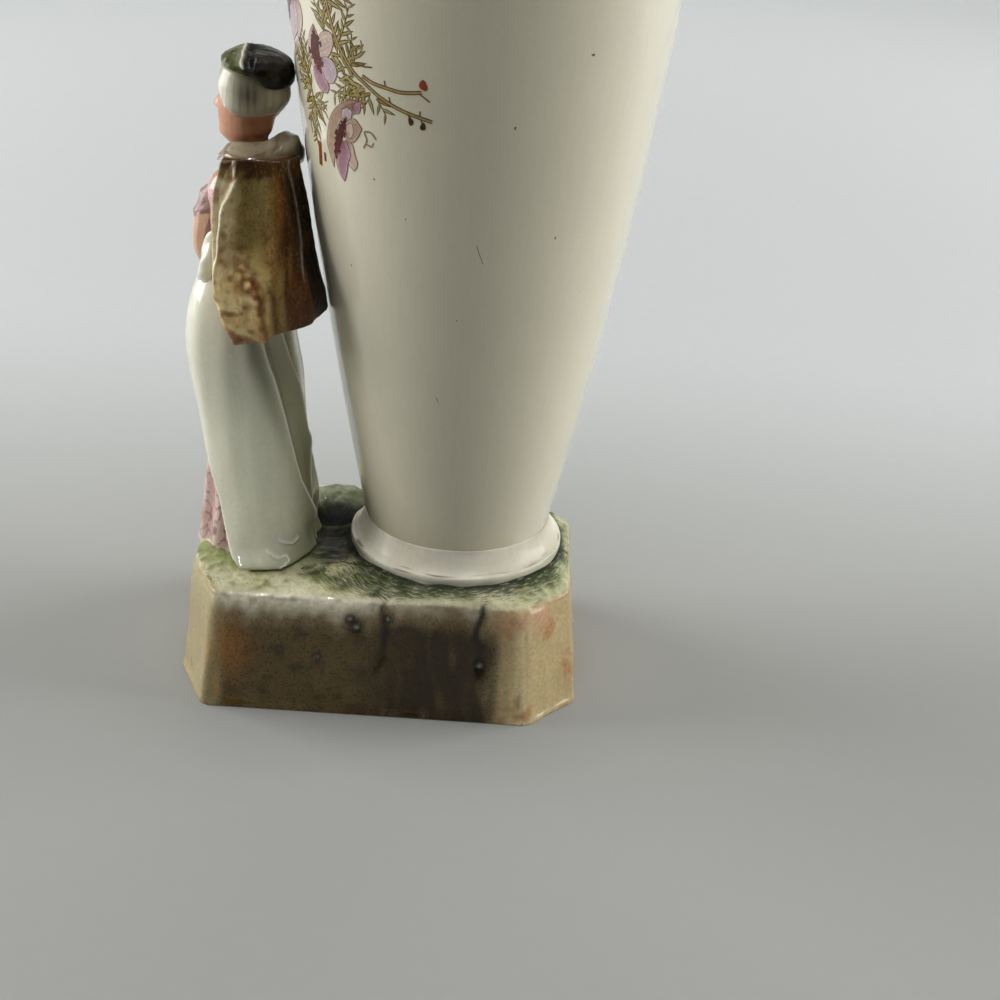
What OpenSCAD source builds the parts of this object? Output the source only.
// Spill vase: a tapered vase on a turned foot, with a standing figure leaning on it, on a hollow rock plinth.
// Every piece is glazed ceramic, luted to its neighbours. Millimetres, +Z up, +Y the way the figure faces.
// The origin is the middle of the plinth's underside.

/* [Vase] */
// Height of the vase body above its foot
vase_h = 163; // [130:1:200]
// Outside radius where the body stands on the foot
vase_bottom_r = 18.5; // [16:0.1:20]
// Outside radius under the turned-out lip
vase_top_r = 38.9; // [33:0.1:43]
// How far the side swells past a straight taper at half height
vase_swell = 3; // [0:0.1:5]
// How far the lip turns out
lip_flare = 3; // [1:0.1:5]
// Height of the turned-out lip
lip_h = 9; // [5:0.5:14]
// Wall of the vase
vase_wall = 3.2; // [2.4:0.1:4.5]
// Thickness of the vase's floor
vase_floor = 4; // [3:0.5:8]
// Radius of the spigot under the vase
spigot_r = 10; // [7:0.5:13]
// Length of the spigot
spigot_h = 3; // [2:0.5:4.5]
// How far the vase stands behind the middle of the plinth
vase_y = 1.8; // [0:0.1:2.5]

/* [Foot] */
// Radius of the foot disc
foot_r = 21.8; // [21:0.1:25]
// Height of the disc's edge
foot_edge_h = 5.4; // [4:0.1:7]
// How far the disc's edge leans in
foot_lean = 1; // [0:0.1:1.2]
// Radius that rounds the top of the edge
foot_edge_r = 0.8; // [0.5:0.1:1.2]
// Height of the hollow curve between the disc and the body
foot_curve_h = 1.6; // [1:0.1:4]
// Depth of the foot's seat in the plinth
foot_seat = 0.5; // [0.3:0.1:1]

/* [Plinth] */
// Height of the plinth
plinth_h = 25; // [18:0.5:32]
// How far each side leans in from bottom to top
plinth_draft = 2.2; // [0.5:0.1:4]
// Radius that rounds the plinth's top edge
plinth_edge_r = 1.5; // [0.8:0.1:2.5]
// Radius that rounds the plinth's upright edges
plinth_corner_r = 2.4; // [1:0.1:4]
// Wall round the hollow underside, at the top
plinth_wall = 4; // [3:0.1:6]
// Thickness of clay over the hollow underside
plinth_roof = 5; // [3.5:0.5:8]
// Corner cut beside the figure, along the front
cut_left_x = 6.5; // [4:0.5:10]
// Corner cut beside the figure, along the side
cut_left_y = 14; // [8:0.5:17]
// Corner cut beside the vase, along the front
cut_right_x = 9.5; // [5:0.5:12]
// Corner cut beside the vase, along the side
cut_right_y = 10; // [5:0.5:15]
// Room on the plinth beside the gown
margin_left = 0.2; // [0.2:0.1:6]
// Room on the plinth beside the foot
margin_right = 2.7; // [0.5:0.1:6]
// Room on the plinth before and behind the foot
margin_depth = 3.5; // [2.5:0.1:8]
// Radius of the vent hole under the gown
vent_r = 3; // [2:0.5:5]

/* [Gown and overskirt] */
// Height of the gown from hem to waist
gown_h = 57; // [45:1:70]
// Radius of the hem
hem_r = 11.7; // [10:0.1:13]
// Radius at the knees
knee_r = 8.9; // [8:0.1:10.5]
// Radius at the hips
hip_r = 9.1; // [8:0.1:10.5]
// Radius of the waist
waist_r = 7.1; // [6:0.1:8]
// How far the hem's middle stands away from the vase, off the figure's axis
hem_lean = 1; // [0:0.1:2]
// How far the hips lean away from the vase
hip_lean = 3.2; // [1:0.1:5]
// Wall of the hollow gown
gown_wall = 3; // [2:0.1:4]
// How far the figure stands behind the middle of the plinth
figure_y = -0.9; // [-2:0.1:2]
// Thickness of the overskirt
drape_t = 1.2; // [0.8:0.1:2]
// Depth of the overskirt's folds
fold_depth = 0.5; // [0.2:0.05:0.8]
// How far the overskirt flares at the hem
hem_flare = 0.8; // [0:0.1:1.2]
// Folds in a full turn
fold_count = 11; // [6:1:16]

/* [Bodice and arms] */
// Height of the bodice from waist to neck
bodice_h = 22; // [18:0.5:28]
// Half width of the chest
chest_rx = 8.2; // [7:0.1:9]
// Half depth of the chest
chest_ry = 6.7; // [5.5:0.1:8]
// Radius of the neck
neck_r = 4; // [3.2:0.1:4.6]
// Radius of the neck's tenon
tenon_r = 2.3; // [1.6:0.1:2.8]
// Length of the neck's tenon
tenon_h = 4; // [2.5:0.5:7]
// Radius of the sleeve
sleeve_r = 3.5; // [2.8:0.1:4]
// Radius of the bare arm
arm_r = 2.3; // [1.6:0.1:2.6]

/* [Head, cap and collar] */
// Height of the head from chin to crown
head_h = 14.8; // [12:0.1:18]
// Length of the head from brow to back
head_l = 12.8; // [10:0.1:14]
// Width of the head
head_w = 10.8; // [9:0.1:12]
// Length of the neck below the chin
neck_h = 3.7; // [2.5:0.1:6]
// Turn of the head from straight ahead, away from the vase
head_turn = 68; // [40:1:90]
// How far the head and neck lean away from the vase
head_lean = 1.5; // [0.5:0.1:2.5]
// How far the nose stands out
nose_l = 0.9; // [0.4:0.1:1.4]
// Thickness of the cap at its edge
cap_t = 1; // [0.7:0.1:1.6]
// Height of the cap above its edge
cap_h = 4.8; // [4:0.1:7]
// Rise of the cap's edge towards the brow, in a length of one
cap_tilt = 0.05; // [0:0.05:0.3]
// Half width of the collar
collar_rx = 7.2; // [6.8:0.1:8.5]
// Half depth of the collar
collar_ry = 8.6; // [8:0.1:10]
// Thickness of the collar
collar_t = 2.6; // [2:0.1:3.6]
// Extra height of the collar where it leans on the vase
collar_roll = 2.6; // [0:0.1:3.5]
// How far the collar's middle stands towards the vase from the neck
collar_lean = 1.9; // [0:0.1:2.5]
// How far the collar droops in front
collar_drop = 3; // [1:0.1:4]

/* [Pack] */
// Height of the pack
pack_h = 29.5; // [24:0.5:36]
// Width of the pack at its top
pack_top_w = 11; // [9:0.1:13]
// Width of the pack at its widest
pack_w = 17.8; // [15:0.1:19]
// How far the pack's lower back stands off the figure's axis
pack_reach = 15.2; // [13:0.1:18]
// How far the pack's upper back stands off the figure's axis
pack_top_reach = 10.6; // [9.5:0.1:13]
// Rise of the pack's lower edge towards the vase, in a length of one
pack_slope = 0.35; // [0:0.05:0.5]
// How far the pack's middle stands towards the vase
pack_lean = 2.2; // [1:0.1:3]
// How far the pack's inner side stands off the figure's axis
pack_inner = 4.4; // [3:0.1:5.5]
// How far the pack's side by the vase spreads towards its inner edge
pack_spread = 2.5; // [0:0.1:4]
// Radius of the pack's upright edges
pack_corner_r = 1.5; // [0.8:0.1:2]

/* [Rock and moss] */
// Height of the rock mound
mound_h = 6.6; // [3:0.1:10]
// Radius of the rock mound
mound_r = 5.3; // [4:0.1:6.5]
// Place of the rock mound towards the vase, from the figure's axis
mound_x = 14.2; // [12:0.1:16]
// Place of the rock mound in front of the figure's axis
mound_y = 12; // [9:0.1:14]
// Height of the moss tuft
tuft_h = 2; // [1:0.1:3]
// Half width of the moss tuft
tuft_r = 6; // [4:0.1:7]
// Place of the moss tuft towards the vase, from the figure's axis
tuft_x = 18; // [15:0.1:20]
// Place of the moss tuft behind the figure's axis
tuft_y = 15.2; // [13:0.1:18]

/* [Fits] */
// Gap that the luting slip fills
luting = 0.2; // [0.1:0.05:0.3]
// Clearance round a spigot or a tenon
fit = 0.25; // [0.15:0.05:0.4]

/* [Hidden] */
$fn = 96;
cut_over = 1;
glaze_cream = [0.82, 0.81, 0.74];
glaze_white = [0.84, 0.84, 0.78];
glaze_pink = [0.83, 0.62, 0.62];
glaze_flesh = [0.80, 0.55, 0.42];
glaze_brown = [0.52, 0.40, 0.24];
glaze_stone = [0.46, 0.40, 0.31];
glaze_moss = [0.33, 0.40, 0.28];
glaze_dark = [0.16, 0.17, 0.13];

// Heights of the seats, from the plinth up
foot_h = foot_edge_h + foot_curve_h;
foot_z = plinth_h - foot_seat;
vase_z = foot_z + foot_h;
waist_z = plinth_h + gown_h;
neck_z = waist_z + bodice_h;
brim_z = neck_h + 0.78 * head_h;

// Outside radius of the vase at a height above its foot
vase_side_h = vase_h - lip_h;
function taper(t) = vase_bottom_r + (vase_top_r - vase_bottom_r) * t + 4 * vase_swell * t * (1 - t);
function vase_r(h) = h < vase_side_h ? taper(max(h, 0) / vase_side_h)
    : vase_top_r + lip_flare * pow((h - vase_side_h) / lip_h, 2);

// Places on the plinth: the figure stands where its cap meets the vase
head_x = -head_lean;
hem_x = -hem_lean;
skirt_t = luting + drape_t + fold_depth + hem_flare;
cap_back = head_l / 2 + luting + cap_t;
spacing = vase_r(neck_z + brim_z + cap_h / 3 - vase_z) + luting + head_x + cap_back;
top_w = margin_left + hem_r - hem_x + spacing + foot_r + margin_right;
top_d = 2 * (foot_r + margin_depth);
vase_x = top_w / 2 - margin_right - foot_r;
figure_x = vase_x - spacing;
mound_place = [figure_x + mound_x, figure_y + mound_y];
tuft_place = [figure_x + tuft_x, figure_y - tuft_y];

// A value table at a height: rows start with their height, and a smooth curve joins them
function between(v, low, high) = max(low, min(high, v));
function bell(v, width) = exp(-v * v / (width * width));
function slope(rows, k) = let (a = rows[max(k - 1, 0)], b = rows[min(k + 1, len(rows) - 1)])
    (b - a) / (b[0] - a[0]);
function at(rows, z) = let (
    k = max([0, for (i = [0:len(rows) - 2]) if (z >= rows[i][0]) i]),
    step = rows[k + 1][0] - rows[k][0],
    t = between((z - rows[k][0]) / step, 0, 1))
    rows[k] * (2 * t * t * t - 3 * t * t + 1) + rows[k + 1] * (3 * t * t - 2 * t * t * t)
    + slope(rows, k) * step * (t * t * t - 2 * t * t + t) + slope(rows, k + 1) * step * (t * t * t - t * t);

// The figure's body from hem to neck: height, place in x and y, half width, half depth
body_rows = [
    [0, hem_x, 0, hem_r, hem_r],
    [0.16 * gown_h, 1.1 * hem_x, 0, (hem_r + knee_r) / 2, (hem_r + knee_r) / 2],
    [0.39 * gown_h, -0.55 * hip_lean, 0, knee_r, knee_r],
    [0.72 * gown_h, -hip_lean, 0, hip_r, 0.97 * hip_r],
    [0.9 * gown_h, -0.88 * hip_lean, 0, 0.512 * (hip_r + waist_r), 0.482 * (hip_r + waist_r)],
    [gown_h, -0.7 * hip_lean, 0, waist_r, 0.9 * waist_r],
    [gown_h + 0.26 * bodice_h, -0.6 * hip_lean, 0, 1.03 * waist_r, 0.92 * waist_r],
    [gown_h + 0.52 * bodice_h, 1.33 * head_x, 0.045 * chest_ry, chest_rx, chest_ry],
    [gown_h + 0.77 * bodice_h, 1.13 * head_x, 0.03 * chest_ry, chest_rx, 0.9 * chest_ry],
    [gown_h + 0.92 * bodice_h, head_x, 0, 0.7 * chest_rx, 0.7 * chest_ry],
    [gown_h + bodice_h, head_x, 0, 1.1 * neck_r, 1.1 * neck_r],
];
function body_point(a, h, grow) = let (s = at(body_rows, h))
    [figure_x + s[1] + (s[3] + grow) * cos(a), figure_y + s[2] + (s[4] + grow) * sin(a), plinth_h + h];

// Moves a point that lies inside the body, grown by a gap, out to its surface
function off_body(p, grow) = let (
    s = at(body_rows, p.z - plinth_h),
    c = [figure_x + s[1], figure_y + s[2]],
    e = norm([(p.x - c.x) / (s[3] + grow), (p.y - c.y) / (s[4] + grow)]))
    e >= 1 ? p : [c.x + (p.x - c.x) / e, c.y + (p.y - c.y) / e, p.z];

// Moves a point that lies inside the vase or its foot out to their side
function off_vase(p) = let (
    r = luting + (p.z < vase_z ? foot_r : vase_r(p.z - vase_z)),
    d = [p.x - vase_x, p.y - vase_y],
    e = norm(d))
    e >= r ? p : [vase_x + d.x * r / e, vase_y + d.y * r / e, p.z];

// A closed surface over rings of points, with flat or gently domed ends
function middle(ring) = [for (k = [0:2]) [for (p = ring) p[k]] * [for (p = ring) 1] / len(ring)];
function ring_faces(rows, n) = [for (j = [0:rows - 2], i = [0:n - 1])
    let (a = j * n + i, b = j * n + (i + 1) % n) each [[a, a + n, b + n], [a, b + n, b]]];
module loft(rings) {
    n = len(rings[0]);
    m = len(rings);
    points = [for (ring = rings) each ring, middle(rings[0]), middle(rings[m - 1])];
    low = [for (i = [0:n - 1]) [m * n, i, (i + 1) % n]];
    high = [for (i = [0:n - 1]) [m * n + 1, (m - 1) * n + (i + 1) % n, (m - 1) * n + i]];
    polyhedron(points, concat(ring_faces(m, n), low, high));
}

// A closed surface over rings whose last meets the first
module loop_loft(rings) {
    n = len(rings[0]);
    m = len(rings);
    faces = [for (j = [0:m - 1], i = [0:n - 1])
        let (a = j * n + i, b = j * n + (i + 1) % n, up = ((j + 1) % m) * n, c = up + i, d = up + (i + 1) % n)
        each [[a, c, d], [a, d, b]]];
    polyhedron([for (ring = rings) each ring], faces);
}

// Angles of a ring with a number of sides
function turn(sides) = [for (i = [0:sides - 1]) 360 * i / sides];

// Plinth: a cut-cornered block that leans in, rounded at its edges
function unit(v) = v / norm(v);
function turned(v, a) = [v.x * cos(a) - v.y * sin(a), v.x * sin(a) + v.y * cos(a)];
function rounded(corners, r, steps) = [for (i = [0:len(corners) - 1]) let (
    n = len(corners),
    p = corners[i],
    da = unit(corners[(i + n - 1) % n] - p),
    db = unit(corners[(i + 1) % n] - p),
    half = acos(da * db) / 2,
    c = p + unit(da + db) * r / sin(half),
    start = p + da * r / tan(half) - c)
    for (k = [0:steps]) c + turned(start, (180 - 2 * half) * k / steps)];
function plinth_outline(inset) = let (
    w = top_w / 2 + plinth_draft - inset,
    d = top_d / 2 + plinth_draft - inset)
    rounded([
        [w, cut_right_y - d], [w, d - cut_right_y], [w - cut_right_x, d], [cut_left_x - w, d],
        [-w, d - cut_left_y], [-w, cut_left_y - d], [cut_left_x - w, -d], [w - cut_right_x, -d],
    ], plinth_corner_r, 4);
module plinth() {
    side = plinth_h - plinth_edge_r;
    edge = [for (a = [0:22.5:90])
        [side + plinth_edge_r * sin(a), plinth_draft + plinth_edge_r * (1 - cos(a))]];
    levels = concat([[0, 0]], edge);
    color(glaze_stone) difference() {
        loft([for (l = levels) [for (p = plinth_outline(l[1])) [p.x, p.y, l[0]]]]);
        translate([0, 0, -cut_over])
            linear_extrude(plinth_h - plinth_roof + cut_over)
                polygon(plinth_outline(plinth_draft + plinth_wall));
        translate([vase_x, vase_y, foot_z]) cylinder(r = foot_r + fit, h = foot_seat + cut_over);
        translate([figure_x, figure_y, 0]) cylinder(r = vent_r, h = plinth_h + cut_over);
    }
}

// Turned foot: an upright edge, a step and a hollow curve up to the body, round a socket
module vase_foot() {
    curve_r = foot_r - foot_lean - foot_edge_r;
    edge = [for (a = [0:15:90])
        [curve_r + foot_edge_r * cos(a), foot_edge_h - foot_edge_r + foot_edge_r * sin(a)]];
    hollow = [for (a = [0:10:90])
        [curve_r - (curve_r - vase_bottom_r) * sin(a), foot_h - foot_curve_h * cos(a)]];
    socket_z = foot_h - spigot_h - fit;
    socket = [[spigot_r + fit, foot_h], [spigot_r + fit, socket_z], [0, socket_z]];
    color(glaze_white) translate([vase_x, vase_y, foot_z])
        rotate_extrude() polygon(concat([[0, 0], [foot_r, 0]], edge, hollow, socket));
}

// Vase body: the outside from foot to lip, over the rounded rim and down the inside
module vase_body() {
    steps = 28;
    rim_r = vase_wall / 2;
    rim_h = vase_h - rim_r;
    outside = [for (i = [0:steps]) let (h = rim_h * i / steps) [vase_r(h), h]];
    rim = [for (a = [15:15:165]) [vase_r(rim_h) - rim_r + rim_r * cos(a), rim_h + rim_r * sin(a)]];
    inside = [for (i = [steps:-1:0]) let (h = vase_floor + (rim_h - vase_floor) * i / steps)
        [vase_r(h) - vase_wall, h]];
    spigot = [[0, vase_floor], [0, -spigot_h], [spigot_r, -spigot_h], [spigot_r, 0]];
    color(glaze_cream) translate([vase_x, vase_y, vase_z])
        rotate_extrude() polygon(concat(outside, rim, inside, spigot));
}

// Gown: hollow, open below, flat at the waist
module gown() {
    sides = 32;
    outer = [for (i = [0:14]) [for (a = turn(sides)) body_point(a, gown_h * i / 14, 0)]];
    inner_h = gown_h - gown_wall;
    inner = [for (i = [5:-1:0]) [for (a = turn(sides)) body_point(a, inner_h * i / 5, -gown_wall)]];
    color(glaze_pink) loft(concat(inner, outer));
}

// Overskirt: a folded sheet round the gown, from one front edge to the other
drape_left = [[0, 245], [0.39, 212], [0.72, 170], [1, 140]];
drape_right = 410;
function drape_point(i, steps, t, grow) = let (
    left = at(drape_left, t)[1],
    a = left + (drape_right - left) * i / steps,
    flare = hem_flare * pow(1 - t, 6),
    fold = fold_depth * sin(fold_count * a + 60 * t) * (1 - t * t))
    body_point(a, gown_h * t, grow > 0 ? luting + grow + flare + fold : luting);
module overskirt() {
    steps = 44;
    levels = 14;
    color(glaze_white) loft([for (j = [0:levels]) concat(
        [for (i = [0:steps]) drape_point(i, steps, j / levels, drape_t)],
        [for (i = [steps:-1:0]) drape_point(i, steps, j / levels, 0)])]);
}

// Bodice: flat at the waist and the neck, with a socket for the neck's tenon
module bodice() {
    levels = 12;
    color(glaze_pink) difference() {
        loft([for (j = [0:levels]) [for (a = turn(30)) body_point(a, gown_h + bodice_h * j / levels, 0)]]);
        translate([figure_x + head_x, figure_y, neck_z - tenon_h - fit])
            cylinder(r = tenon_r + fit, h = tenon_h + fit + cut_over);
    }
}

// Arms: a tube from the shoulder round the elbow to the hand at the waist
shoulder_x = 0.79 * chest_rx;
elbow_x = chest_rx;
arm_z = waist_z + arm_r + 2 * luting;
shoulder_z = waist_z + 0.64 * bodice_h;
arm_y = chest_ry + arm_r + luting;
arm_sides = 14;
arm_rows = [
    [0, shoulder_x, 0.11 * sleeve_r, shoulder_z, 0.91 * sleeve_r],
    [1, 1.28 * shoulder_x, 0.14 * sleeve_r, shoulder_z - 0.28 * sleeve_r, sleeve_r],
    [2, elbow_x, 0.28 * sleeve_r, (2 * shoulder_z + arm_z) / 3, 0.86 * sleeve_r],
    [3, elbow_x, 1.04 * arm_r, (shoulder_z + 2 * arm_z) / 3 - 0.2 * arm_r, 1.04 * arm_r],
    [4, 0.85 * elbow_x, 0.6 * arm_y, arm_z, arm_r],
    [5, 0.78 * shoulder_x, arm_y, arm_z + 0.1 * arm_r, 0.87 * arm_r],
    [6, 1.13 * arm_r, arm_y + 0.3 * arm_r, arm_z + 0.26 * arm_r, 0.87 * arm_r],
    [7, 0.52 * arm_r, arm_y + 0.26 * arm_r, arm_z + 0.3 * arm_r, 0.5 * arm_r],
];
function arm_place(k) = let (s = at(arm_rows, between(k, 0, 7))) [s[1], s[2], s[3]];
function arm_ring(k, share, side) = let (
    along = unit(arm_place(k + 0.3) - arm_place(k - 0.3)),
    across = unit(cross(along, [-0.5, -0.85, 0.1])),
    other = cross(along, across),
    r = share * at(arm_rows, k)[4])
    [for (a = turn(arm_sides)) let (p = arm_place(k) + r * (across * cos(a) + other * sin(a)))
        off_vase(off_body([figure_x + head_x + side * p.x, figure_y + p.y, p.z], luting))];
module arm(side) {
    steps = 16;
    seat = [for (share = [0.1, 0.4, 0.7]) arm_ring(0, share, side)];
    rings = concat(seat, [for (j = [0:steps]) arm_ring(7 * j / steps, 1, side)]);
    order = side > 0 ? [0:len(rings) - 1] : [len(rings) - 1:-1:0];
    color(glaze_flesh) loft([for (j = order) rings[j]]);
}
module left_arm() { arm(-1); }
module right_arm() { arm(1); }

// Head: neck, jaw, brow and crown as ovals: height, place along the face, half length, half width
head_rows = [
    [0, 0, neck_r, neck_r],
    [0.75 * neck_h, 0.1, neck_r, 0.93 * neck_r],
    [neck_h, 0.09 * head_l, 0.39 * head_l, 0.36 * head_w],
    [neck_h + 0.1 * head_h, 0.05 * head_l, 0.46 * head_l, 0.43 * head_w],
    [neck_h + 0.3 * head_h, 0.01 * head_l, 0.49 * head_l, 0.49 * head_w],
    [neck_h + 0.53 * head_h, -0.01 * head_l, 0.5 * head_l, 0.5 * head_w],
    [neck_h + 0.76 * head_h, -0.02 * head_l, 0.46 * head_l, 0.46 * head_w],
    [neck_h + 0.92 * head_h, -0.03 * head_l, 0.32 * head_l, 0.33 * head_w],
    [neck_h + head_h, -0.03 * head_l, 0.1 * head_l, 0.1 * head_w],
];
head_place = [figure_x + head_x, figure_y, neck_z];
function on_head(u, v, z) = let (p = turned([u, v], 90 + head_turn)) head_place + [p.x, p.y, z];
function head_point(a, z, grow) = let (
    s = at(head_rows, z),
    rise = z - neck_h - 0.34 * head_h,
    nose = grow > 0 ? 0 : nose_l * bell(min(a, 360 - a), 13) * bell(rise, 0.11 * head_h))
    on_head(s[1] + (s[2] + grow) * cos(a) + nose, (s[3] + grow) * sin(a), z);
module head() {
    levels = 22;
    color(glaze_flesh) union() {
        loft([for (j = [0:levels]) [for (a = turn(28)) head_point(a, (neck_h + head_h) * j / levels, 0)]]);
        translate(head_place - [0, 0, tenon_h]) cylinder(r = tenon_r, h = tenon_h + cut_over);
    }
}

// Cap: soft and full, hollow to fit the crown, its edge rising towards the brow
cap_rows = [
    [0, 0.52, 0.56],
    [0.22, 0.58, 0.66],
    [0.5, 0.57, 0.66],
    [0.8, 0.47, 0.54],
    [0.95, 0.29, 0.34],
    [1, 0.1, 0.11],
];
function cap_edge(a) = brim_z + cap_tilt * head_l / 2 * cos(a);
function cap_outer(a, t) = let (
    s = at(cap_rows, t),
    edge = head_point(a, cap_edge(a), luting + cap_t),
    lean = cap_edge(a) + cap_h * t,
    full = on_head(head_l * (s[1] * cos(a) - 0.04), head_w * s[2] * sin(a), lean))
    off_vase(edge + (full - edge) * min(1, 4 * t));
module cap() {
    sides = 30;
    roof = neck_h + head_h + luting;
    outer = [for (t = [0, 0.08, 0.18, 0.35, 0.55, 0.72, 0.86, 0.95, 1])
        [for (a = turn(sides)) cap_outer(a, t)]];
    inner = [for (t = [1, 0.75, 0.5, 0.25, 0]) [for (a = turn(sides))
        head_point(a, cap_edge(a) + (roof - cap_edge(a)) * t, luting)]];
    color(glaze_dark) loft(concat(inner, outer));
}

// Collar: a ring round the neck, level over the pack and drooping over the shoulders in front
collar_section = [
    [0, 0], [0.4, 0], [0.85, 0], [1, 0.25], [1.04, 0.55], [0.9, 0.85], [0.5, 1], [0.08, 1.05], [0, 0.6],
];
function collar_point(a, reach, lift) = let (
    hole = neck_r + fit,
    droop = collar_drop * reach * (1 - between(-1.7 * sin(a), 0, 1)),
    roll = collar_roll / collar_t * reach * bell((a + 200) % 360 - 180, 32))
    off_vase(off_body(head_place + [
        collar_lean * reach + (hole + (collar_rx - hole) * reach) * cos(a),
        (hole + (collar_ry - hole) * reach) * sin(a),
        luting + lift * (1 + roll) - droop], luting));
module collar() {
    color(glaze_white) loop_loft([for (s = collar_section)
        [for (a = turn(32)) collar_point(a, s[0], collar_t * s[1])]]);
}

// Pack: a rounded, tapering box on the back, cut away at the lower corner far from the vase
pack_over_waist = 0.11 * bodice_h;
pack_rows = [
    [0, 1.86 * pack_lean, 0.42 * pack_w, 0.96 * pack_reach],
    [0.07, 1.73 * pack_lean, 0.455 * pack_w, pack_reach],
    [0.3, 1.18 * pack_lean, 0.52 * pack_w, pack_reach],
    [0.6, 0.77 * pack_lean, 0.46 * pack_w, (pack_reach + pack_top_reach) / 2],
    [0.93, 0.64 * pack_lean, 0.53 * pack_top_w, pack_top_reach],
    [1, 0.64 * pack_lean, 0.5 * pack_top_w, 0.95 * pack_top_reach],
];
pack_steps = [3, 9];
function box_ring(half, back, front) = let (
    wide = half + pack_spread,
    c = rounded([[half, back], [wide, front], [-half, front], [-half, back]], pack_corner_r, 3))
    [for (i = [0:15]) let (n = i % 4 == 3 ? pack_steps[floor(i / 4) % 2] : 1)
        for (k = [0:n - 1]) c[i] + (c[(i + 1) % 16] - c[i]) * k / n];
function pack_ring(t) = let (s = at(pack_rows, t))
    [for (p = box_ring(s[2], -s[3], -pack_inner)) let (
        z = neck_z - pack_h * (1 - t) + pack_slope * p.x * pow(1 - t, 2),
        grow = luting + (z < waist_z + pack_over_waist ? skirt_t - hem_flare : 0))
        off_vase(off_body([figure_x + s[1] + p.x, figure_y + p.y, z], grow))];
module pack() {
    levels = 14;
    color(glaze_brown) loft([for (j = [0:levels]) pack_ring(j / levels)]);
}

// Rock and moss: low lumpy domes on the plinth, kept clear of the foot and the skirt
dome_rows = [[0, 1], [0.3, 0.93], [0.6, 0.8], [0.85, 0.6], [1, 0.3]];
function dome_point(place, r, h, a, t, lumps) = let (
    s = at(dome_rows, t)[1] * (1 + 0.06 * sin(lumps * a)))
    off_vase(off_body(
        [place.x + r.x * s * cos(a), place.y + r.y * s * sin(a), plinth_h + h * t], skirt_t + luting));
module dome(place, r, h, lumps) {
    levels = 8;
    loft([for (j = [0:levels]) [for (a = turn(24)) dome_point(place, r, h, a, j / levels, lumps)]]);
}
module rock_mound() { color(glaze_moss) dome(mound_place, [mound_r, mound_r], mound_h, 3); }
module moss_tuft() { color(glaze_moss) dome(tuft_place, [tuft_r, 0.7 * tuft_r], tuft_h, 5); }

plinth();
vase_foot();
vase_body();
gown();
overskirt();
bodice();
left_arm();
right_arm();
head();
cap();
collar();
pack();
rock_mound();
moss_tuft();
